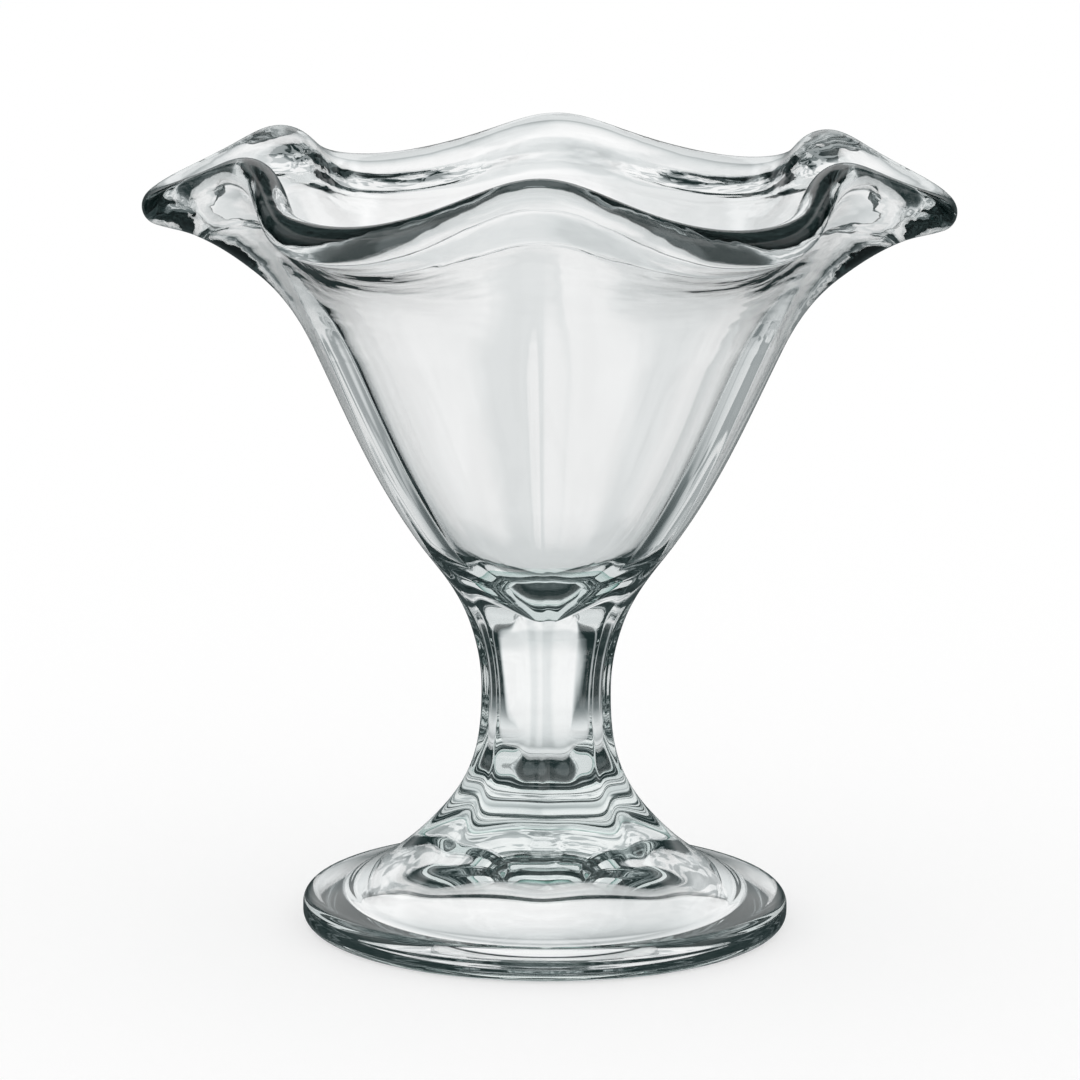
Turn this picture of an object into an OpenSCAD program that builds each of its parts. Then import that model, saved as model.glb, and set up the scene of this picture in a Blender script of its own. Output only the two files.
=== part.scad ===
// Footed glass for ice cream and parfait, pressed in clear glass.
// The axis is Z, the glass stands on z = 0, and a crest of the rim points to the front, -Y.
// The rim's crests alternate with lobes that fold outward, like the petals of a flower.

/* [Foot] */
// Width of the foot
foot_d = 76; // [60:1:100]
// Height of the foot, from the table to the stem
foot_h = 14; // [12.5:0.5:18]
// Thickness of the foot at its edge
edge_t = 5.2; // [3.5:0.1:7]
// Radius that rounds the edge of the foot
edge_r = 2.1; // [0.8:0.1:2.5]
// Width of the foot's neck, where the stem stands on it
neck_d = 40; // [32:0.2:48]
// Width of the dome that hollows the foot from below
recess_d = 59; // [48:1:66]
// Height of the dome under the foot, at its middle
recess_h = 10.5; // [7:0.1:11.5]
// Depth of the bevel at the dome's border
recess_step = 0.8; // [0.2:0.1:1.5]

/* [Stem] */
// Height of the stem, from the foot to the bowl
stem_h = 33; // [24:0.5:60]
// Width of the stem at its waist, measured over the ridges
waist_d = 20.2; // [14:0.2:23]
// Height of the waist above the foot
waist_up = 22.8; // [16:0.2:23.5]
// Number of facets round the stem
stem_sides = 8; // [6:1:12]

/* [Bowl] */
// Width of the bowl's seat on the stem, measured over the ridges
seat_d = 23.5; // [22:0.1:32]
// Height of the bowl, from the stem to the crests of the rim
bowl_h = 75.3; // [60:0.5:100]
// Height above the seat at which the stem's facets have run out into the bowl
run_out_up = 14; // [10:0.5:18]
// Width of the bowl there
run_out_d = 41.8; // [36:0.2:46]
// Height above the seat at which the rim starts to flare
flare_up = 45; // [36:0.5:50]
// Width of the bowl there
flare_d = 75.4; // [66:0.2:82]
// Thickness of the wall low in the bowl, at its ridges
base_wall = 4.2; // [3.2:0.1:5]
// Thickness of the wall where the rim starts to flare, at its ridges
flare_wall = 4; // [3:0.1:4.6]
// Height above the seat of the pointed floor inside the bowl
floor_up = 4; // [3:0.1:7]

/* [Rim] */
// Number of lobes
lobes = 6; // [4:1:8]
// Width of the rim over two crests that face each other
crest_d = 107; // [98:1:112]
// Width of the rim over two lobes that face each other
lobe_d = 124.8; // [116:1:134]
// Drop of the lobes below the crests
lobe_drop = 7; // [3:0.5:12]
// Depth of the hollow that runs round the outside just below the lip
rim_dip = 0.5; // [0:0.1:0.7]
// Thickness of the wall at that hollow, before it is pressed in
rim_wall = 3; // [2.4:0.1:4]
// Thickness of the rounded lip
lip_t = 5.8; // [4.4:0.1:6.4]

/* [Hidden] */

// Levels of the seats
seat_z = foot_h + stem_h;
waist_z = foot_h + waist_up;
run_out_z = seat_z + run_out_up;
flare_z = seat_z + flare_up;
floor_z = seat_z + floor_up;
lip_r = lip_t / 2;
crest_z = seat_z + bowl_h - lip_r;
lobe_z = crest_z - lobe_drop;

// Lean of the outer face from upright, in degrees, at each level
neck_lean = -47;
waist_lean = 0;
seat_lean = 18;
run_out_lean = 36;
flare_lean = 26;
crest_lean = 34;
lobe_lean = 72;
edge_lean = -81;
// Lean of the bowl's floor at its point, and of the foot's dome at its border
tip_lean = 60;
dome_lean = 120;

// Length of a curve's handles, as shares of its chord
handle_share = 0.36;
stem_handle_share = 0.43;
flare_handle_share = 0.46;
tip_handle_share = 0.3;
dome_handle_share = 0.4;

// How flat the bowl's panels are: 0 is a round bowl, 1 is a true hexagon
panel_share = 0.25;
// How fast the stem's facets fade out toward the foot, as a share of the way up to the waist
fade_share = 0.35;
// How far up the flare the wall starts to swell into the lip, and where the hollow starts and is deepest
swell_share = 0.76;
dip_start_share = 0.5;
dip_share = 0.84;
// How much the rim's lobes fill out sideways, and how much they sag
fill_share = 0.5;
sag_share = 0.3;
// Power that sets how crisp the ridges between facets are
crispness = 60;

// Steps round the glass and rings along each stretch of its outline
steps = 96;
base_rings = 5;
wall_rings = 5;
flare_rings = 12;
lip_rings = 7;
floor_rings = 8;
stem_low_rings = 8;
stem_high_rings = 5;
foot_rings = 14;
edge_rings = 6;

function mix(a, b, share) = a + (b - a) * share;
function smooth(share) = share * share * (3 - 2 * share);
function total(list) = list * [for (item = list) 1];
function along(lean) = [sin(lean), cos(lean)];
function across(lean) = [cos(lean), -sin(lean)];
function handle(a, b, share) = norm(b - a) * share;

// Point on a cubic curve from a to d with the handle ends b and c
function cubic(a, b, c, d, t) =
    a * pow(1 - t, 3) + b * 3 * t * pow(1 - t, 2) + c * 3 * t * t * (1 - t) + d * pow(t, 3);
// Direction of that curve
function cubic_way(a, b, c, d, t) =
    (b - a) * pow(1 - t, 2) + (c - b) * 2 * t * (1 - t) + (d - c) * t * t;

// The handle ends of an outline that leaves a at one lean and reaches b at another
function handles(a, lean_a, b, lean_b, share_a, share_b) = [
    a,
    a + along(lean_a) * handle(a, b, share_a),
    b - along(lean_b) * handle(a, b, share_b),
    b
];
function on_curve(c, t) = cubic(c[0], c[1], c[2], c[3], t);
function way_curve(c, t) = cubic_way(c[0], c[1], c[2], c[3], t);
// Unit vector from the outer face into the glass
function inward(way) = [-way[1], way[0]] / norm(way);

// Radius of a polygon with softened ridges, as a share of its radius over the ridges
function facet_share(angle, sides) =
    cos(180 / sides) * pow(2 / total([
        for (k = [0 : sides - 1]) pow(max(0, cos(angle - (k + 0.5) * 360 / sides)), crispness)
    ]), 1 / crispness);
function faceted(angle, sides, share) = 1 - share * (1 - facet_share(angle, sides));

// Where a direction lies between a crest (0) and a lobe (1)
function lobe_share(angle) = (1 - cos(lobes * angle)) / 2;
function reach_share(angle) = mix(lobe_share(angle), smooth(lobe_share(angle)), fill_share);
function drop_share(angle) = lobe_share(angle) * (1 + sag_share * (1 - lobe_share(angle)));

// Outline of the stem below and above its waist
stem_low = handles([neck_d / 2, foot_h], neck_lean, [waist_d / 2, waist_z], waist_lean,
    stem_handle_share, stem_handle_share);
stem_high = handles([waist_d / 2, waist_z], waist_lean, [seat_d / 2, seat_z], seat_lean,
    handle_share, handle_share);

// Outline of the bowl up to the flare, at its ridges
bowl_base = handles([seat_d / 2, seat_z], seat_lean, [run_out_d / 2, run_out_z], run_out_lean,
    handle_share, handle_share);
bowl_wall = handles([run_out_d / 2, run_out_z], run_out_lean, [flare_d / 2, flare_z], flare_lean,
    handle_share, handle_share);

// The middle of the lip's round, and the lean of the glass there
function lip_middle(angle) = [
    mix(crest_d, lobe_d, reach_share(angle)) / 2 - lip_r,
    mix(crest_z, lobe_z, drop_share(angle))
];
function lip_lean(angle) = mix(crest_lean, lobe_lean, reach_share(angle));

// The bowl has flat panels outside (share 1) and is round inside (share 0)
function panel(angle, share) = faceted(angle, lobes, panel_share * share);
function flare(angle, share) = handles(
    [flare_d / 2 * panel(angle, share), flare_z], flare_lean,
    lip_middle(angle) + across(lip_lean(angle)) * lip_r, lip_lean(angle),
    handle_share, flare_handle_share);
function flare_wall_t(t) = t < swell_share
    ? mix(flare_wall, rim_wall, smooth(t / swell_share))
    : mix(rim_wall, lip_t, smooth((t - swell_share) / (1 - swell_share)));
function dip_t(t) = rim_dip * (t > dip_share
    ? 1 - smooth((t - dip_share) / (1 - dip_share))
    : smooth(max(0, (t - dip_start_share) / (dip_share - dip_start_share))));
function wall_t(t) = mix(base_wall, flare_wall, t);

function turned(point, angle) = [point[0] * sin(angle), -point[0] * cos(angle), point[1]];
function angle_of(step) = step * 360 / steps;

// Points of the bowl's outline in one direction, from the seat up, over the lip and down inside
function base_point(angle, t) =
    let (p = on_curve(bowl_base, t))
    [p[0] * faceted(angle, stem_sides, 1 - smooth(t)) * panel(angle, smooth(t)), p[1]];
function wall_point(angle, t) =
    let (p = on_curve(bowl_wall, t))
    [p[0] * panel(angle, 1), p[1]];
function lip_point(angle, turn) =
    lip_middle(angle)
    + across(lip_lean(angle)) * lip_r * cos(turn)
    + along(lip_lean(angle)) * lip_r * sin(turn);
function outer_flare_point(angle, t) =
    on_curve(flare(angle, 1), t) + inward(way_curve(flare(angle, 1), t)) * dip_t(t);
function inner_flare_point(angle, t) =
    on_curve(flare(angle, 0), t) + inward(way_curve(flare(angle, 0), t)) * flare_wall_t(t);
function inner_wall_point(t) =
    on_curve(bowl_wall, t) + inward(way_curve(bowl_wall, t)) * wall_t(t);
inner_base = inner_wall_point(0);
floor_curve = [
    inner_base,
    inner_base - along(run_out_lean) * handle(inner_base, [0, floor_z], handle_share),
    [0, floor_z] + along(tip_lean) * handle(inner_base, [0, floor_z], tip_handle_share),
    [0, floor_z]
];

function bowl_outline(angle) = [
    for (k = [0 : base_rings - 1]) base_point(angle, k / base_rings),
    for (k = [0 : wall_rings - 1]) wall_point(angle, k / wall_rings),
    for (k = [0 : flare_rings - 1]) outer_flare_point(angle, k / flare_rings),
    for (k = [0 : lip_rings]) lip_point(angle, 180 * k / lip_rings),
    for (k = [1 : flare_rings - 1]) inner_flare_point(angle, 1 - k / flare_rings),
    for (k = [0 : wall_rings - 1]) inner_wall_point(1 - k / wall_rings),
    for (k = [0 : floor_rings - 1]) on_curve(floor_curve, k / floor_rings)
];

// A closed solid through equal outlines round the axis, with a flat or pointed end at each
module lofted(outlines, first_end, last_end) {
    turns = len(outlines);
    rings = len(outlines[0]);
    points = concat(
        [for (ring = [0 : rings - 1]) for (j = [0 : turns - 1])
            turned(outlines[j][ring], angle_of(j))],
        [first_end, last_end]
    );
    skin = [for (ring = [0 : rings - 2]) for (j = [0 : turns - 1])
        let (a = ring * turns + j, b = ring * turns + (j + 1) % turns)
        each [[a, a + turns, b + turns], [a, b + turns, b]]];
    ends = [for (j = [0 : turns - 1])
        let (k = (j + 1) % turns, top = (rings - 1) * turns)
        each [[rings * turns, j, k], [rings * turns + 1, top + k, top + j]]];
    polyhedron(points = points, faces = concat(skin, ends));
}

module bowl() {
    color("#dfe9e8")
    lofted(
        [for (j = [0 : steps - 1]) bowl_outline(angle_of(j))],
        [0, 0, seat_z],
        [0, 0, floor_z]
    );
}

// The facets are full from the fade up to the bowl's seat
function stem_facets(t) = smooth(min(1, t / fade_share));
function stem_outline(angle) = [
    for (k = [0 : stem_low_rings - 1])
        let (t = k / stem_low_rings, p = on_curve(stem_low, t))
        [p[0] * faceted(angle, stem_sides, stem_facets(t)), p[1]],
    for (k = [0 : stem_high_rings])
        let (p = on_curve(stem_high, k / stem_high_rings))
        [p[0] * faceted(angle, stem_sides, 1), p[1]]
];

module stem() {
    color("#cfdcdb")
    lofted(
        [for (j = [0 : steps - 1]) stem_outline(angle_of(j))],
        [0, 0, foot_h],
        [0, 0, seat_z]
    );
}

// Outline of the foot: its flare, its rounded edge, the ring that it stands on and the dome
flare_end = [foot_d / 2 - edge_r, edge_t];
foot_flare = handles(flare_end, edge_lean, [neck_d / 2, foot_h], neck_lean,
    handle_share, handle_share);
recess_edge = recess_d / 2;
dome = handles([0, recess_h], 90, [recess_edge - recess_step, recess_step], dome_lean,
    handle_share, dome_handle_share);
function quarter(share) = [cos(90 * share), sin(90 * share)];

module foot() {
    color("#dfe9e8")
    rotate_extrude($fn = steps)
    polygon(concat(
        [[0, recess_h], [0, foot_h]],
        [for (k = [0 : foot_rings]) on_curve(foot_flare, 1 - k / foot_rings)],
        [for (k = [edge_rings - 1 : -1 : 0])
            [foot_d / 2 - edge_r, edge_t - edge_r] + quarter(k / edge_rings) * edge_r],
        [for (k = [0 : edge_rings])
            let (round = quarter(k / edge_rings))
            [foot_d / 2 - edge_r + round[0] * edge_r, edge_r - round[1] * edge_r]],
        [[recess_edge, 0]],
        [for (k = [0 : foot_rings - 1]) on_curve(dome, 1 - k / foot_rings)]
    ));
}

bowl();
stem();
foot();
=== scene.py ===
# %% [markdown]
# # A footed ice cream glass, pressed in clear glass
#
# The real glass is one pressing: a cone bowl whose rim is ruffled into six lobes, a short
# eight-sided stem and a round foot, hollow underneath. Clear glass has no colour of its own to
# paint, so what we see is what it bends and mirrors. This lesson therefore spends its effort on
# three things: the exact curve of each surface, a true glass material, and a studio with bright
# and dark places for the glass to bend. Sizes are in metres, the axis is Z, the front faces -Y.

# %% Load the measured model
from math import atan2, cos, hypot, pi, radians, sin

import bmesh
import bpy
from mathutils import Matrix, Vector


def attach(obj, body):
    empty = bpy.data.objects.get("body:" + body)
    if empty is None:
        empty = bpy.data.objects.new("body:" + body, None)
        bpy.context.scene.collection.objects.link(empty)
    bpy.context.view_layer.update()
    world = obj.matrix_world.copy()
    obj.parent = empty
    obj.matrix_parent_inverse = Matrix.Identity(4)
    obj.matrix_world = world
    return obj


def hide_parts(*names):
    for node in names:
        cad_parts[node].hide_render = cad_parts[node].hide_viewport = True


mm = 0.001
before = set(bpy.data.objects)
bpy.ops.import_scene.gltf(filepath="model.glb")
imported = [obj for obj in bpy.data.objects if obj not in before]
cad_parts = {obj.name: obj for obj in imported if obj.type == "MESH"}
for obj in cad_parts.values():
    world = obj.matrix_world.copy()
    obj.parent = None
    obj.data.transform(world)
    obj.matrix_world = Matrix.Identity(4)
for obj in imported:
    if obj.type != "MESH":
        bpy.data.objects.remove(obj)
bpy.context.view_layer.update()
print("solids of the measured model:", sorted(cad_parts))

# %% [markdown]
# ## The sizes
#
# The measured model gives every size, so they are repeated here rather than fitted by eye. The
# outline of the glass runs through a few named rings, each with a radius (r) and a height (z):
# the foot's edge, the neck where stem and foot meet, the waist, the seat of the bowl, the
# run-out where the stem's flats have faded, the flare, and the rim with its high crests and low
# lobes. All of them could be read from the solids' meshes, but named sizes are easier to change.

# %% Rings and walls
foot_r, foot_h = 38 * mm, 14 * mm
edge_t, edge_r = 5.2 * mm, 2.1 * mm
neck_r = 20 * mm
waist_r, waist_z = 10.1 * mm, 36.8 * mm
seat_r, seat_z = 11.75 * mm, 47 * mm
run_out_r, run_out_z = 20.9 * mm, 61 * mm
flare_r, flare_z = 37.7 * mm, 92 * mm
crest_r, lobe_r, lobe_drop = 53.5 * mm, 62.4 * mm, 7 * mm
top_z = 122.3 * mm
base_wall, flare_wall, rim_wall, lip_t = 4.2 * mm, 4 * mm, 3 * mm, 5.8 * mm
lip_r = lip_t / 2
print("the glass:", round(2 * lobe_r / mm), "mm across,", round(top_z / mm), "mm high")

# %% [markdown]
# ## One curve for every contour
#
# A mould for pressed glass is cut from smooth sweeps. Each stretch of the outline is one cubic
# curve between two rings, told by the way the glass leans at each end: 0 degrees is upright, 90
# is straight out from the axis. Blender has curve objects for this, but here the outline changes
# with the direction round the axis, so a small formula that can be asked for any point is better.
# The wall's thickness is laid off square to the curve, which keeps it even.

# %% Curves between two rings
UPRIGHT, LEVEL = 0, 90
HANDLE = 0.36


def mix(a, b, share):
    return a + (b - a) * share


def smooth(share):
    share = min(1, max(0, share))
    return share * share * (3 - 2 * share)


def along(lean):
    return Vector((sin(radians(lean)), cos(radians(lean))))


def square_to(lean):
    return Vector((cos(radians(lean)), -sin(radians(lean))))


def sweep(start, lean_start, end, lean_end, handle_start=HANDLE, handle_end=HANDLE):
    start, end = Vector(start), Vector(end)
    reach = (end - start).length
    return (start, start + along(lean_start) * reach * handle_start,
            end - along(lean_end) * reach * handle_end, end)


def point_on(curve, t):
    u = 1 - t
    return curve[0] * u**3 + curve[1] * 3 * t * u**2 + curve[2] * 3 * t**2 * u + curve[3] * t**3


def inward(curve, t):
    u = 1 - t
    way = ((curve[1] - curve[0]) * u**2 + (curve[2] - curve[1]) * 2 * t * u
           + (curve[3] - curve[2]) * t**2)
    return Vector((-way.y, way.x)).normalized()


print("a sweep's middle:", point_on(sweep((0, 0), UPRIGHT, (1, 1), LEVEL), 0.5))

# %% [markdown]
# ## Flats and ruffles
#
# Two things break the roundness. The stem is pressed with eight flats and the bowl with six wide
# panels, one to each lobe, so that a ridge runs down the bowl under each crest. The rim swings
# between six crests and six lobes: a lobe reaches further out, hangs lower and leans more. A
# Boolean with flat cutters would leave knife-sharp ridges, which a mould never does. The sum of
# high powers below gives each flat and rounds the ridge between two, and a soft wave moves the
# rim, so the glass stays one smooth skin. The power says how crisp a ridge is: high on the
# bowl, where each ridge draws a fine line, and low on the stem, where the mould is worn round.
# On a ridge two flats pull alike, and dividing by the sum leaves the ridge where the round was.
# Every row of points asks for the same directions again, so each answer is kept.

# %% How far a direction is pulled in, and where the rim is
LOBES, STEM_SIDES = 6, 8
RIDGE_SHARPNESS = {LOBES: 120, STEM_SIDES: 24}
PANEL_DEPTH = 0.25
LOBE_FULLNESS, LOBE_SAG = 0.5, 0.3
CREST_LEAN, LOBE_LEAN = 34, 72
known_flats = {}


def flat_share(angle, sides):
    half, power = pi / sides, RIDGE_SHARPNESS[sides]
    pull = sum(max(0, cos(angle - (2 * k + 1) * half)) ** power for k in range(sides))
    return cos(half) * (2 / pull) ** (1 / power)


def flattened(angle, sides, depth):
    place = (round(angle, 6), sides)
    if place not in known_flats:
        known_flats[place] = flat_share(angle, sides)
    return 1 - depth * (1 - known_flats[place])


def panelled(angle, share=1):
    return flattened(angle, LOBES, PANEL_DEPTH * share)


def rim_at(angle):
    lobe = (1 - cos(LOBES * angle)) / 2
    reach = mix(lobe, smooth(lobe), LOBE_FULLNESS)
    drop = lobe_drop * lobe * (1 + LOBE_SAG * (1 - lobe))
    centre = Vector((mix(crest_r, lobe_r, reach) - lip_r, top_z - lip_r - drop))
    return centre, mix(CREST_LEAN, LOBE_LEAN, reach)


for name, angle in (("crest", 0), ("lobe", pi / LOBES)):
    centre, lean = rim_at(angle)
    print(name, "of the rim: radius and height", [round(size / mm, 1) for size in centre],
          "lean", round(lean))

# %% [markdown]
# ## Turning, then pressing
#
# A glassmaker drops a gob in a mould and pushes it outwards. We do the same in two steps. The
# outline in the direction of a crest is spun round the axis with the spin operator, which gives
# a round blank with clean rows of faces. Then every point of the blank moves to the outline of
# its own direction. Each point remembers its place in the row in an integer layer, so finding
# its new home is a look-up. Spinning an eighth and spinning seven copies of it is much faster
# than one full turn, and the seams close when the doubles are merged.

# %% A round blank
DIRECTIONS, SLICES = 360, 8
MERGE = 1e-6
SEAM = MERGE / 10


def round_blank(outline):
    shape = bmesh.new()
    row = shape.verts.layers.int.new("row")
    chain = []
    for number, p in enumerate(outline(0)):
        vert = shape.verts.new((0, -p.x, p.y))
        vert[row] = number
        chain.append(vert)
    edges = [shape.edges.new(pair) for pair in zip(chain, chain[1:])]
    bmesh.ops.spin(shape, geom=chain + edges, cent=(0, 0, 0), axis=(0, 0, 1),
                   angle=2 * pi / SLICES, steps=DIRECTIONS // SLICES, use_merge=False)
    slice_of_it = shape.verts[:] + shape.edges[:] + shape.faces[:]
    bmesh.ops.spin(shape, geom=slice_of_it, cent=(0, 0, 0), axis=(0, 0, 1),
                   angle=2 * pi * (SLICES - 1) / SLICES, steps=SLICES - 1, use_duplicate=True)
    bmesh.ops.remove_doubles(shape, verts=shape.verts, dist=SEAM)
    return shape


print("a blank:", SLICES, "slices of", DIRECTIONS // SLICES, "steps each")

# %% Press the blank into its mould
def press(shape, outline):
    row = shape.verts.layers.int["row"]
    moulds = {}
    for vert in shape.verts:
        on_axis = hypot(vert.co.x, vert.co.y) < SEAM
        way_round = 0 if on_axis else atan2(vert.co.x, -vert.co.y) / (2 * pi)
        number = round(way_round * DIRECTIONS) % DIRECTIONS
        angle = 2 * pi * number / DIRECTIONS
        if number not in moulds:
            moulds[number] = outline(angle)
        p = moulds[number][vert[row]]
        vert.co = (p.x * sin(angle), -p.x * cos(angle), p.y)
    bmesh.ops.remove_doubles(shape, verts=shape.verts, dist=MERGE)
    bmesh.ops.recalc_face_normals(shape, faces=shape.faces)


print("points closer than", MERGE / mm, "mm are merged")

# %% [markdown]
# The three pieces are fused in the real glass, so nothing is seen where they join. Here each
# keeps its own closed skin, and the flat faces where two meet are named joint faces: they get a
# second material, which lets light pass without bending it. The edge round a joint is marked
# sharp, or the smooth shading of all other faces would bend the light there.

# %% From a pressed shape to a piece of glass
GLASS_SLOT, JOINT_SLOT = 0, 1


def is_joint(face, heights):
    return any(all(abs(vert.co.z - z) < MERGE for vert in face.verts) for z in heights)


def pressed(name, outline, joint_heights):
    shape = round_blank(outline)
    press(shape, outline)
    for face in shape.faces:
        face.smooth = True
        face.material_index = JOINT_SLOT if is_joint(face, joint_heights) else GLASS_SLOT
    for edge in shape.edges:
        edge.smooth = len({face.material_index for face in edge.link_faces}) == 1
    mesh = bpy.data.meshes.new(name)
    shape.to_mesh(mesh)
    shape.free()
    piece = bpy.data.objects.new(name, mesh)
    bpy.context.scene.collection.objects.link(piece)
    print(name, "has", len(mesh.polygons), "faces and", len(outline(0)), "rows")
    return piece


print("material slots:", GLASS_SLOT, "for glass,", JOINT_SLOT, "for joint faces")

# %% [markdown]
# ## The bowl
#
# The bowl starts on the stem's eight flats, which fade into the six panels over the first 14 mm,
# and opens in a straight cone. Below the lip a shallow hollow runs round, and the lip itself is
# a full round bead. The inside is round: in a pressing, the flats are cut in the mould and the
# plunger is turned. It ends in the plunger's blunt point, well down in the thick bottom, and
# that point is what gathers the light into the dark knot at the foot of the bowl.
#
# It could be one turned profile with a Displace modifier for the ruffle, but then the wall would
# thin out where the lobes reach far. So the outline is worked out for each direction: up the
# outside in three sweeps, over the lip, and down the inside.

# %% Three sweeps of the bowl
BASE_LEAN, WALL_LEAN, FLARE_LEAN = 18, 36, 26
FLARE_END_HANDLE = 0.46


def bowl_sweeps(angle, panels=1):
    centre, lean = rim_at(angle)
    base = sweep((seat_r, seat_z), BASE_LEAN, (run_out_r, run_out_z), WALL_LEAN)
    wall = sweep((run_out_r, run_out_z), WALL_LEAN, (flare_r, flare_z), FLARE_LEAN)
    flare = sweep((flare_r * panelled(angle, panels), flare_z), FLARE_LEAN,
                  centre + square_to(lean) * lip_r, lean, HANDLE, FLARE_END_HANDLE)
    return base, wall, flare


print("the sweeps end at, in mm:", [round(curve[-1].y / mm, 1) for curve in bowl_sweeps(0)])

# %% Outside of the bowl
HOLLOW_DEPTH, HOLLOW_START, HOLLOW_DEEPEST = 0.5 * mm, 0.5, 0.84
SEAT_ROWS, BASE_ROWS, WALL_ROWS, FLARE_ROWS = 13, 28, 36, 48


def fractions(rows):
    return [k / rows for k in range(rows + 1)]


def joint_disc(radius, z, rows):
    return [Vector((radius * k / rows, z)) for k in range(rows)]


def hollow_below_lip(t):
    if t < HOLLOW_DEEPEST:
        return HOLLOW_DEPTH * smooth((t - HOLLOW_START) / (HOLLOW_DEEPEST - HOLLOW_START))
    return HOLLOW_DEPTH * (1 - smooth((t - HOLLOW_DEEPEST) / (1 - HOLLOW_DEEPEST)))


def flats_fade(p, angle, t):
    return p.x * flattened(angle, STEM_SIDES, 1 - smooth(t)) * panelled(angle, smooth(t))


def outside_of_bowl(angle):
    base, wall, flare = bowl_sweeps(angle)
    points = joint_disc(seat_r * flattened(angle, STEM_SIDES, 1), seat_z, SEAT_ROWS)
    for t in fractions(BASE_ROWS)[:-1]:
        p = point_on(base, t)
        points.append(Vector((flats_fade(p, angle, t), p.y)))
    for t in fractions(WALL_ROWS)[:-1]:
        p = point_on(wall, t)
        points.append(Vector((p.x * panelled(angle), p.y)))
    for t in fractions(FLARE_ROWS)[:-1]:
        points.append(point_on(flare, t) + inward(flare, t) * hollow_below_lip(t))
    return points


print("rows of the outside:", len(outside_of_bowl(0)))

# %% Lip and inside of the bowl
TIP_Z, TIP_LEAN, TIP_HANDLE = 51 * mm, 60, 0.3
SWELL_START = 0.76
LIP_ROWS, FLOOR_ROWS = 28, 28


def wall_below_lip(t):
    if t < SWELL_START:
        return mix(flare_wall, rim_wall, smooth(t / SWELL_START))
    return mix(rim_wall, lip_t, smooth((t - SWELL_START) / (1 - SWELL_START)))


def lip_bead(angle):
    centre, lean = rim_at(angle)
    out, up = square_to(lean) * lip_r, along(lean) * lip_r
    turns = [pi * k / LIP_ROWS for k in range(LIP_ROWS + 1)]
    return [centre + out * cos(turn) + up * sin(turn) for turn in turns]


def inside_of_bowl(angle):
    wall, flare = bowl_sweeps(angle, panels=0)[1:]
    points = []
    for t in [1 - share for share in fractions(FLARE_ROWS)[1:-1]]:
        points.append(point_on(flare, t) + inward(flare, t) * wall_below_lip(t))
    for t in [1 - share for share in fractions(WALL_ROWS)[:-1]]:
        points.append(point_on(wall, t) + inward(wall, t) * mix(base_wall, flare_wall, t))
    start, tip = wall[0] + inward(wall, 0) * base_wall, Vector((0, TIP_Z))
    reach = (tip - start).length
    floor = (start, start - along(WALL_LEAN) * reach * HANDLE,
             tip + along(TIP_LEAN) * reach * TIP_HANDLE, tip)
    return points + [point_on(floor, t) for t in fractions(FLOOR_ROWS)]


print("rows of the lip and the inside:", len(lip_bead(0)), len(inside_of_bowl(0)))

# %% Make the bowl
def bowl_outline(angle):
    return outside_of_bowl(angle) + lip_bead(angle) + inside_of_bowl(angle)


bowl = pressed("glass_bowl", bowl_outline, [seat_z])

# %% [markdown]
# ## The stem
#
# The stem is solid. Its eight flats are full at the waist, and towards the foot they melt into
# the round flare, which the eye reads as the wavy steps of light above the foot. They could be
# cut by a Bevel or a Boolean, but the fade is what matters, so each point is pulled in by a
# share that grows with its height.

# %% Flats of the stem
FADE_LOW, FADE_HIGH = 6 * mm, 19 * mm
NECK_ROWS = 15


def flats_share(z):
    return smooth((z - FADE_LOW) / (FADE_HIGH - FADE_LOW))


def stem_flats(angle, z):
    return flattened(angle, STEM_SIDES, flats_share(z))


def with_stem_flats(points, angle):
    return [Vector((p.x * stem_flats(angle, p.y), p.y)) for p in points]


def neck_disc(angle):
    return joint_disc(neck_r * stem_flats(angle, foot_h), foot_h, NECK_ROWS)


def seat_disc(angle):
    return joint_disc(seat_r * stem_flats(angle, seat_z), seat_z, SEAT_ROWS)


print("share of the flats at the neck:", round(flats_share(foot_h), 2), "and at the waist:",
      flats_share(waist_z))

# %% Make the stem
NECK_LEAN, STEM_HANDLE = -47, 0.43
LOW_ROWS, HIGH_ROWS = 44, 24


def stem_outline(angle):
    low = sweep((neck_r, foot_h), NECK_LEAN, (waist_r, waist_z), UPRIGHT,
                STEM_HANDLE, STEM_HANDLE)
    high = sweep((waist_r, waist_z), UPRIGHT, (seat_r, seat_z), BASE_LEAN)
    skin = ([point_on(low, t) for t in fractions(LOW_ROWS)[:-1]]
            + [point_on(high, t) for t in fractions(HIGH_ROWS)])
    return neck_disc(angle) + with_stem_flats(skin, angle) + seat_disc(angle)[::-1]


stem = pressed("glass_stem", stem_outline, [foot_h, seat_z])

# %% [markdown]
# ## The foot
#
# The foot carries the stem's curve on, out to a plain rounded edge that stands on a flat ring.
# Underneath it is hollowed to a low dome, as pressed feet are, so that it cools evenly and does
# not rock. A turned disc with a Bevel would do for a foot that hides its underside. But this
# dome is what turns the light into the dark wavy band above the foot's front, so it is as
# carefully curved as the top.

# %% Make the foot
FOOT_LEAN = -81
recess_r, recess_step = 29.5 * mm, 0.8 * mm
dome_h, DOME_LEAN, DOME_HANDLE = 10.5 * mm, 120, 0.4
FLARE_TOP_ROWS, EDGE_ROWS, RING_ROWS, DOME_ROWS = 40, 12, 6, 32


def rounded_edge():
    points = []
    for centre_z, first, last in ((edge_t - edge_r, EDGE_ROWS - 1, 0), (edge_r, 0, -EDGE_ROWS)):
        for k in range(first, last - 1, -1):
            turn = pi / 2 * k / EDGE_ROWS
            points.append(Vector((foot_r - edge_r + edge_r * cos(turn),
                                  centre_z + edge_r * sin(turn))))
    return points


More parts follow.
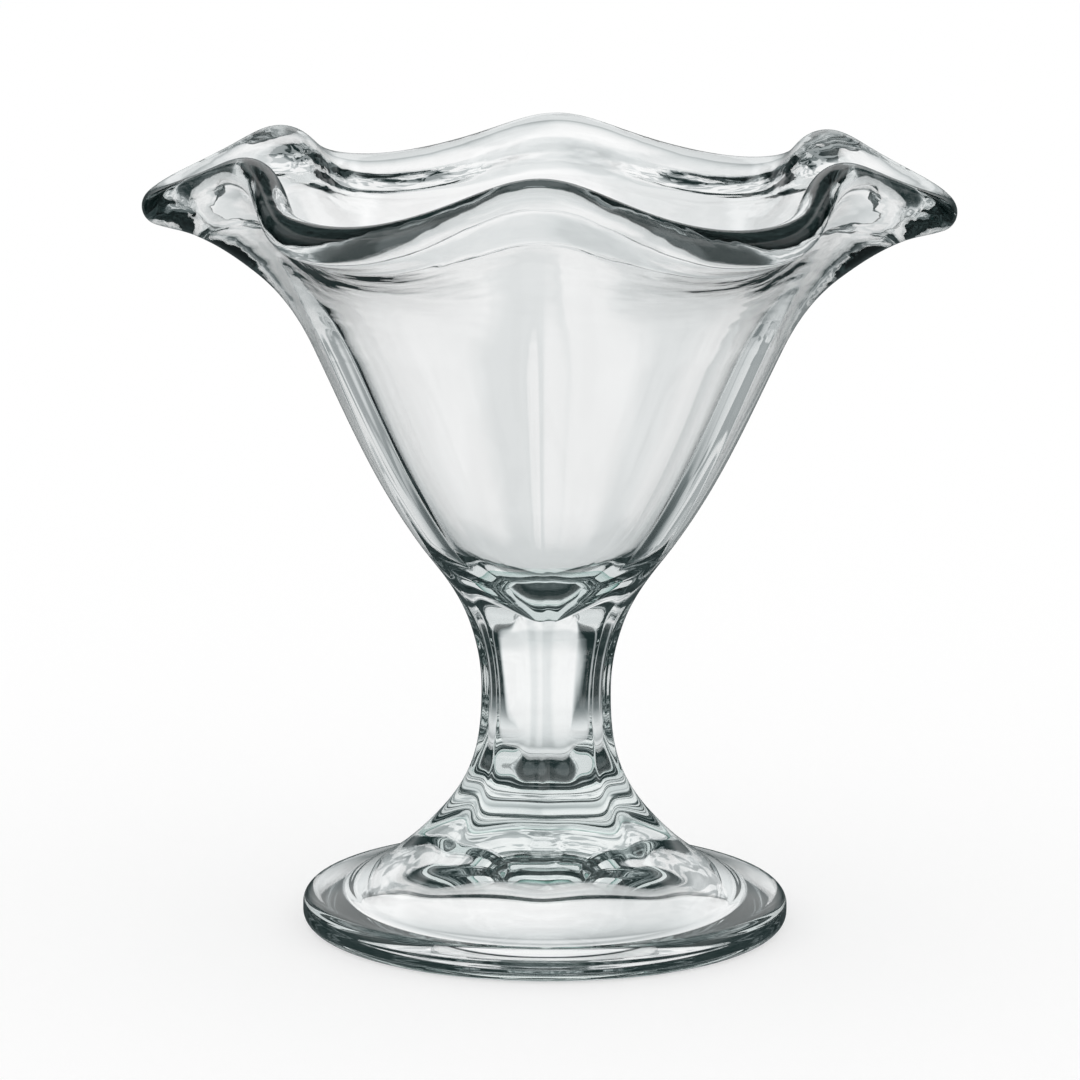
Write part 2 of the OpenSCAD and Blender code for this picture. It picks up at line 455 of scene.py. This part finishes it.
def foot_outline(angle):
    top = sweep((foot_r - edge_r, edge_t), FOOT_LEAN, (neck_r, foot_h), NECK_LEAN)
    dome = sweep((0, dome_h), LEVEL, (recess_r - recess_step, recess_step), DOME_LEAN,
                 HANDLE, DOME_HANDLE)
    skin = [point_on(top, 1 - t) for t in fractions(FLARE_TOP_ROWS)]
    ring = [Vector((mix(foot_r - edge_r, recess_r, t), 0)) for t in fractions(RING_ROWS)[1:]]
    under = [point_on(dome, 1 - t) for t in fractions(DOME_ROWS)]
    return neck_disc(angle) + with_stem_flats(skin, angle) + rounded_edge() + ring + under


foot = pressed("glass_foot", foot_outline, [foot_h])

# %% [markdown]
# ## Where the pieces meet
#
# Two skins in exactly the same place confuse a ray of light. The stem's two joint faces
# therefore draw back by a thousandth of a millimetre, which nobody can see.

# %% Draw the stem's joint faces back
GAP = MERGE
for vert in stem.data.vertices:
    if vert.co.z > seat_z - GAP / 2:
        vert.co.z = seat_z - GAP
    if vert.co.z < foot_h + GAP / 2:
        vert.co.z = foot_h + GAP
print("gap at each joint in mm:", GAP / mm)

# %% [markdown]
# ## Small tools for node trees
#
# Materials and the world are trees of nodes. Every node could be made and linked line by line,
# but most of those lines would be alike. So `put` makes a node and fills its inputs, each with a
# value or with a link from another node, `math_node` does one sum, and `ramp` turns a value into
# a colour along a row of stops, where a single number stands for a grey.

# %% Put a node, do a sum, lay out a ramp
def fill(tree, socket, value):
    if isinstance(value, bpy.types.NodeSocket):
        tree.links.new(value, socket)
    else:
        socket.default_value = value


def put(tree, kind, **inputs):
    node = tree.nodes.new(kind)
    for name, value in inputs.items():
        fill(tree, node.inputs[name.replace("_", " ")], value)
    return node


def math_node(tree, operation, *terms):
    node = tree.nodes.new("ShaderNodeMath")
    node.operation = operation
    for socket, term in zip(node.inputs, terms):
        fill(tree, socket, term)
    return node.outputs[0]


def paint(shade):
    return (*shade, 1) if isinstance(shade, tuple) else (shade, shade, shade, 1)


def ramp(tree, value, stops):
    node = put(tree, "ShaderNodeValToRGB", Fac=value)
    ends = node.color_ramp.elements[:]
    for element, (place, shade) in zip(ends, (stops[0], stops[-1])):
        element.position, element.color = place, paint(shade)
    for place, shade in stops[1:-1]:
        node.color_ramp.elements.new(place).color = paint(shade)
    return node.outputs["Color"]


print("half grey as a colour:", paint(0.5))

# %% [markdown]
# ## The glass
#
# Pressed soda-lime glass bends light with an index of 1.52 and mirrors it sharply, so the
# Principled shader gets full transmission and no roughness. A Glass shader would do the same,
# but the Principled one also carries over to other programs. Two faults make it look real. Thick
# glass is faintly grey-green, which a volume absorption gives: thin places stay clear, thick
# ones darken. And the skin is never quite flat, which comes after.

# %% Clear pressed glass
GLASS_BENDING = 1.52
GLASS_TINT, TINT_DENSITY = (0.76, 0.87, 0.85, 1), 5


def tint_inside(material):
    tree = material.node_tree
    tint = put(tree, "ShaderNodeVolumeAbsorption", Color=GLASS_TINT, Density=TINT_DENSITY)
    tree.links.new(tint.outputs["Volume"], tree.nodes["Material Output"].inputs["Volume"])


clear_glass = bpy.data.materials.new("clear_glass")
clear_glass.use_nodes = True
tree = clear_glass.node_tree
shader = tree.nodes["Principled BSDF"]
shader.inputs["Base Color"].default_value = (1, 1, 1, 1)
shader.inputs["Roughness"].default_value = 0
shader.inputs["IOR"].default_value = GLASS_BENDING
shader.inputs["Transmission Weight"].default_value = 1
tint_inside(clear_glass)
print(clear_glass.name, "bends light by", GLASS_BENDING)

# %% [markdown]
# ## The chilled skin
#
# A pressed skin chills in long, very low waves. The rim, which was reheated and pulled out, has
# finer ripples as well, drawn out along it. Moving the mesh would need millions of points, so
# two soft noises go through a Bump node instead: one for the waves all over, and one for the
# ripples, which a map over the height lets in towards the rim. The ripples' noise also changes
# with the radius, so that the inside and the outside of the wall differ.

# %% Ripples of the rim
RIPPLE_SCALE, RIPPLE_DETAIL, RIPPLE_STRETCH = 330, 1.5, 0.3
RIPPLES_FROM, RIPPLES_TO = 92 * mm, 112 * mm
BUMP_UNIT, RIPPLE_UNITS = 0.007 * mm, 25
place = put(tree, "ShaderNodeTexCoord").outputs["Object"]
height = put(tree, "ShaderNodeSeparateXYZ", Vector=place).outputs["Z"]
flat_place = put(tree, "ShaderNodeVectorMath")
flat_place.operation = "MULTIPLY"
flat_place.inputs[1].default_value = (1, 1, 0)
tree.links.new(place, flat_place.inputs[0])
radius = put(tree, "ShaderNodeVectorMath")
radius.operation = "LENGTH"
tree.links.new(flat_place.outputs["Vector"], radius.inputs[0])
stretched = put(tree, "ShaderNodeMapping", Vector=place,
                Scale=(RIPPLE_STRETCH, RIPPLE_STRETCH, 1)).outputs["Vector"]
ripples = put(tree, "ShaderNodeTexNoise", Vector=stretched, Scale=RIPPLE_SCALE,
              Detail=RIPPLE_DETAIL)
ripples.noise_dimensions = "4D"
tree.links.new(radius.outputs["Value"], ripples.inputs["W"])
near_rim = put(tree, "ShaderNodeMapRange", Value=height, From_Min=RIPPLES_FROM,
               From_Max=RIPPLES_TO, To_Min=0, To_Max=RIPPLE_UNITS)
print("ripples of the rim, in mm:", round(BUMP_UNIT * RIPPLE_UNITS / mm, 3), "high,",
      round(1 / RIPPLE_SCALE / mm, 1), "apart")

# %% Waves all over
WAVE_SCALE, WAVE_UNITS = 70, 4
waves = put(tree, "ShaderNodeTexNoise", Vector=place, Scale=WAVE_SCALE, Detail=0)
wave_height = math_node(tree, "MULTIPLY", waves.outputs["Fac"], WAVE_UNITS)
skin = math_node(tree, "MULTIPLY_ADD", ripples.outputs["Fac"], near_rim.outputs["Result"],
                 wave_height)
bump = put(tree, "ShaderNodeBump", Distance=BUMP_UNIT, Height=skin)
tree.links.new(bump.outputs["Normal"], shader.inputs["Normal"])
print("waves all over, in mm:", round(BUMP_UNIT * WAVE_UNITS / mm, 3), "high,",
      round(1 / WAVE_SCALE / mm, 1), "apart")

# %% [markdown]
# The joint faces get no glass surface at all: with an alpha of 0 the light goes straight on. But
# they still close the tinted space on both sides, so they carry the same tint inside.

# %% Joint faces, and dress the pieces
joint = bpy.data.materials.new("fused_joint")
joint.use_nodes = True
joint.node_tree.nodes["Principled BSDF"].inputs["Alpha"].default_value = 0
tint_inside(joint)

for piece, node in ((bowl, "bowl"), (stem, "stem"), (foot, "foot")):
    piece.data.materials.append(clear_glass)
    piece.data.materials.append(joint)
    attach(piece, "root")
    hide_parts(node)
    print(piece.name, "stands for", node)

# %% [markdown]
# ## A white table
#
# The photo has a pure white ground, and the glass stands on it with hardly any shadow. A disc of
# paper does this: half of its white is plain diffuse paper, which keeps a soft shadow, and half
# is a faint glow. Seen through the glass, though, a white floor would wash out every dark line.
# Photographers solve that with a glass table over a dark gap, and so do we: for rays that come
# through or off the glass the paper is clear, and they see the studio below.

# %% A disc of paper
TABLE_R, TABLE_SIDES = 12, 96
shape = bmesh.new()
bmesh.ops.create_circle(shape, cap_ends=True, segments=TABLE_SIDES, radius=TABLE_R)
mesh = bpy.data.meshes.new("paper_table")
shape.to_mesh(mesh)
shape.free()
table = bpy.data.objects.new("paper_table", mesh)
bpy.context.scene.collection.objects.link(table)
print("table radius:", TABLE_R, "m")

# %% White paper, clear to the glass
PAPER_GREY, PAPER_GLOW = 0.5, 0.5
paper = bpy.data.materials.new("white_paper")
paper.use_nodes = True
tree = paper.node_tree
tree.nodes.clear()
ray = put(tree, "ShaderNodeLightPath").outputs
matt = put(tree, "ShaderNodeBsdfDiffuse", Color=paint(PAPER_GREY))
glow = put(tree, "ShaderNodeEmission", Strength=PAPER_GLOW)
white = put(tree, "ShaderNodeAddShader")
tree.links.new(matt.outputs["BSDF"], white.inputs[0])
tree.links.new(glow.outputs["Emission"], white.inputs[1])
clear = put(tree, "ShaderNodeBsdfTransparent")
by_glass = math_node(tree, "MAXIMUM", ray["Is Transmission Ray"], ray["Is Glossy Ray"])
choice = put(tree, "ShaderNodeMixShader", Fac=by_glass)
tree.links.new(white.outputs["Shader"], choice.inputs[1])
tree.links.new(clear.outputs["BSDF"], choice.inputs[2])
put(tree, "ShaderNodeOutputMaterial", Surface=choice.outputs["Shader"])
mesh.materials.append(paper)
print("the paper's white:", PAPER_GREY, "by light and", PAPER_GLOW, "by its own glow")

# %% [markdown]
# ## The studio
#
# Glass is lit through its surroundings. Behind and above it a photographer hangs white, which
# makes the body clear, and beside it black strips, which come back as the dark lines that draw
# its edges. The table top is lit only near the glass, so steep downward looks fall into the
# dark. Cards and lamps could be built as objects, but they would stand in the way of other
# views. So all of it is the world itself, painted by direction: one ramp over the height of the
# look, in degrees above the level, and one over its side, in degrees away from straight on. It
# repeats in front and behind and left and right, so the glass is well lit from every view. One
# faint step in the white behind the glass shows the ridge down its middle, and for that a third
# ramp runs over the whole turn, measured from straight behind. The three helpers take their
# stops in degrees: the height has 180 of them, the side 90 and the whole turn 360.

# %% Directions of the studio
world = bpy.data.worlds.new("studio")
bpy.context.scene.world = world
world.use_nodes = True
tree = world.node_tree
tree.nodes.clear()
directions = put(tree, "ShaderNodeTexCoord").outputs["Generated"]
direction = put(tree, "ShaderNodeSeparateXYZ", Vector=directions).outputs
turn = math_node(tree, "ARCTAN2", direction["X"], direction["Y"])
aside = math_node(tree, "MULTIPLY", math_node(tree, "PINGPONG", turn, pi / 2), 2 / pi)
tilt = math_node(tree, "MULTIPLY_ADD", math_node(tree, "ARCSINE", direction["Z"]), 1 / pi, 0.5)
whole_turn = math_node(tree, "MULTIPLY_ADD", turn, 0.5 / pi, 0.5)


def by_height(stops):
    return ramp(tree, tilt, [(0.5 + angle / 180, grey) for angle, grey in stops])


def by_side(stops):
    return ramp(tree, aside, [(angle / 90, grey) for angle, grey in stops])


def by_turn(stops):
    return ramp(tree, whole_turn, [(0.5 + angle / 360, grey) for angle, grey in stops])


print("the", world.name, "is painted by the height, side and turn of a look")

# %% White walls, dark strips and the gap below
WALLS = [(-90, 0.12), (-72, 0.12), (-66, 0.02), (-46, 0.02), (-38, 0.12), (-33, 0.45),
         (-27, 0.7), (-20, 0.9), (-13, 0.98), (4, 0.98), (8, 0.8), (15, 0.75), (19, 0.95),
         (58, 1), (64, 0.03), (70, 0.03), (76, 0.9), (90, 0.9)]
STRIPS = [(0, 1), (28, 1), (32, 0.02), (40, 0.02), (42.5, 0.55), (48.5, 0.55), (51, 0.02),
          (64, 0.02), (68, 0.6), (90, 0.9)]
BEYOND_STRIPS = [(-90, 1), (-23, 1), (-12, 0), (28, 0), (36, 1), (90, 1)]
STEP_BEHIND = [(-180, 1), (-2, 1), (-0.5, 0.95), (0.8, 0.84), (5, 0.84), (10, 1), (180, 1)]
strips = math_node(tree, "MAXIMUM", by_side(STRIPS), by_height(BEYOND_STRIPS))
walls = math_node(tree, "MULTIPLY", by_height(WALLS), by_turn(STEP_BEHIND))
around = math_node(tree, "MULTIPLY", walls, strips)
print("stops of the studio:", len(WALLS), "heights,", len(STRIPS), "sides")

# %% [markdown]
# A look that goes straight through thin walls should still find white, wherever the camera
# stands, or the clear bowl would turn grey from one side and black from above. Light Path's Ray
# Depth tells such looks apart: the world is the last thing a ray meets and counts as one step,
# so it reads 3 behind one wall, which has two skins, and 5 behind both walls of the bowl. Those
# two counts get a least brightness, the first only for looks down onto the table.

# %% What straight looks see
ONE_WALL, BOTH_WALLS, HALF_A_STEP = 3, 5, 0.5
BOTH_WALLS_LIGHT = 0.75
LIGHT_BELOW = [(-90, 0.8), (-34, 0.75), (-24, 0), (90, 0)]
ray = put(tree, "ShaderNodeLightPath").outputs
steps = ray["Ray Depth"]
one_wall = math_node(tree, "LESS_THAN", steps, ONE_WALL + HALF_A_STEP)
both_walls = math_node(tree, "COMPARE", steps, BOTH_WALLS, HALF_A_STEP)
light_ahead = math_node(tree, "MULTIPLY", both_walls, BOTH_WALLS_LIGHT)
light_below = math_node(tree, "MULTIPLY", one_wall, by_height(LIGHT_BELOW))
clear_look = math_node(tree, "MAXIMUM", light_ahead, light_below)
around = math_node(tree, "MAXIMUM", around, clear_look)
print("looks through both walls find at least", BOTH_WALLS_LIGHT, "of white")

# %% [markdown]
# Thick, curved glass, as in the rim, gathers the whole room into fine streaks, and a room is
# never as clean as a few ramps. For bent looks above the table, a soft noise over the directions
# puts light and dark patches in: the stands, edges and gaps of a real studio.

# %% Clutter of a real studio
CLUTTER_SCALE, CLUTTER_DETAIL, CLUTTER_TWIST = 6, 1, 1
CLUTTER = [(0, 0), (0.44, 0), (0.52, 1), (1, 1)]
CLUTTER_REACH = [(-90, 0), (-40, 0), (-26, 0.4), (90, 0.4)]
patches = put(tree, "ShaderNodeTexNoise", Vector=directions, Scale=CLUTTER_SCALE,
              Detail=CLUTTER_DETAIL, Distortion=CLUTTER_TWIST)
straight = math_node(tree, "MAXIMUM", one_wall, both_walls)
bent = math_node(tree, "SUBTRACT", 1, straight)
share = math_node(tree, "MULTIPLY", bent, by_height(CLUTTER_REACH))
clean_part = math_node(tree, "MULTIPLY", around, math_node(tree, "SUBTRACT", 1, share))
clutter = ramp(tree, patches.outputs["Fac"], CLUTTER)
around = math_node(tree, "MULTIPLY_ADD", clutter, share, clean_part)
print("clutter takes up to", max(grey for _, grey in CLUTTER_REACH), "of bent looks")

# %% [markdown]
# Two more things make the darks. Light that has wandered through many skins is nearly spent, so
# the world dims with the Ray Depth past 5 steps, which gives the near-black accents at the knot,
# the stem's ends and the foot's edge. And a skin that mirrors, rather than lets through, should
# not lay a grey veil over those darks. So mirrored looks find white only in two bands above the
# level, as from long lamps, which draw bright lines on the lip. A glossy ray that isn't a
# transmission ray is a mirrored one.

# %% Spent light and mirrored light
GLINTS = [(-90, 0.1), (2, 0.1), (10, 0.6), (18, 1), (38, 1), (44, 0.1), (60, 0.1), (63, 1),
          (69, 1), (72, 0.1), (90, 0.1)]
FRESH_STEPS, SPENT_STEPS, SPENT_LIGHT = 5, 9, 0.08
through, glossy = ray["Is Transmission Ray"], ray["Is Glossy Ray"]
mirrored = math_node(tree, "GREATER_THAN", glossy, through)
glint = math_node(tree, "MAXIMUM", by_height(GLINTS), math_node(tree, "SUBTRACT", 1, mirrored))
spent = put(tree, "ShaderNodeMapRange", Value=steps, From_Min=FRESH_STEPS, From_Max=SPENT_STEPS,
            To_Min=1, To_Max=SPENT_LIGHT)
in_glass = math_node(tree, "MULTIPLY", math_node(tree, "MULTIPLY", around, glint),
                     spent.outputs["Result"])
print("light is spent after", SPENT_STEPS, "steps, and then finds", SPENT_LIGHT)

# %% [markdown]
# All this is only for rays that met the glass. Everything else, the camera too, sees plain
# white of strength 1, which also lights the paper. The last ramp turns brightness to colour:
# the dark cards are a cool grey-green black, and the half-dark greys lean the same way.

# %% Who sees the studio
SHADES = [(0, (0.004, 0.015, 0.015)), (0.32, (0.195, 0.225, 0.23)), (0.7, (0.72, 0.75, 0.755)),
          (1, (1, 1, 1))]
by_glass = math_node(tree, "MAXIMUM", through, glossy)
plain_white = math_node(tree, "SUBTRACT", 1, by_glass)
brightness = math_node(tree, "MULTIPLY_ADD", in_glass, by_glass, plain_white)
backdrop = put(tree, "ShaderNodeBackground", Color=ramp(tree, brightness, SHADES), Strength=1)
put(tree, "ShaderNodeOutputWorld", Surface=backdrop.outputs["Background"])
print("nodes of the studio:", len(tree.nodes))

# %% [markdown]
# ## The camera
#
# The photo was taken from about 0.73 m with a long lens, a little above the rim, so the foot and
# the rim show as flat ellipses. A camera could be set by eye, but a little tilt shifts the whole
# outline, so this one was found by matching those ellipses. It looks a hair from the right and
# is turned by a third of a degree, as the photo is.

# %% Camera
SENSOR_WIDTH, FOCAL_IN_PIXELS, FRAME_PIXELS = 36, 4721.3, 1080
CAMERA_AWAY, CAMERA_HEIGHT, CAMERA_ASIDE, CAMERA_ROLL = 720.4 * mm, 194.14 * mm, 0.025, 0.0057
AIM = Vector((-1.09 * mm, 0, 60.65 * mm))
lens = bpy.data.cameras.new("camera")
lens.sensor_width = SENSOR_WIDTH
lens.lens = FOCAL_IN_PIXELS / FRAME_PIXELS * SENSOR_WIDTH
camera = bpy.data.objects.new("camera", lens)
bpy.context.scene.collection.objects.link(camera)
camera.location = (CAMERA_AWAY * sin(CAMERA_ASIDE), -CAMERA_AWAY * cos(CAMERA_ASIDE),
                   CAMERA_HEIGHT)
look = (AIM - camera.location).to_track_quat("-Z", "Y").to_matrix().to_4x4()
camera.rotation_euler = (look @ Matrix.Rotation(CAMERA_ROLL, 4, "Z")).to_euler()
bpy.context.scene.camera = camera
print("lens:", round(lens.lens), "mm, from", round((AIM - camera.location).length, 2), "m")

# %% [markdown]
# ## Paths of light, and the end
#
# A ray may cross a dozen skins in the thick bottom of the bowl, so the light paths are allowed
# more bounces than usual, or the stem would fill with black. The Standard view transform keeps
# the white of the paper white.

# %% Finish
BOUNCES = 24
scene = bpy.context.scene
scene.view_settings.view_transform = "Standard"
scene.cycles.max_bounces = BOUNCES
scene.cycles.transmission_bounces = BOUNCES
scene.cycles.glossy_bounces = BOUNCES
scene.cycles.transparent_max_bounces = BOUNCES
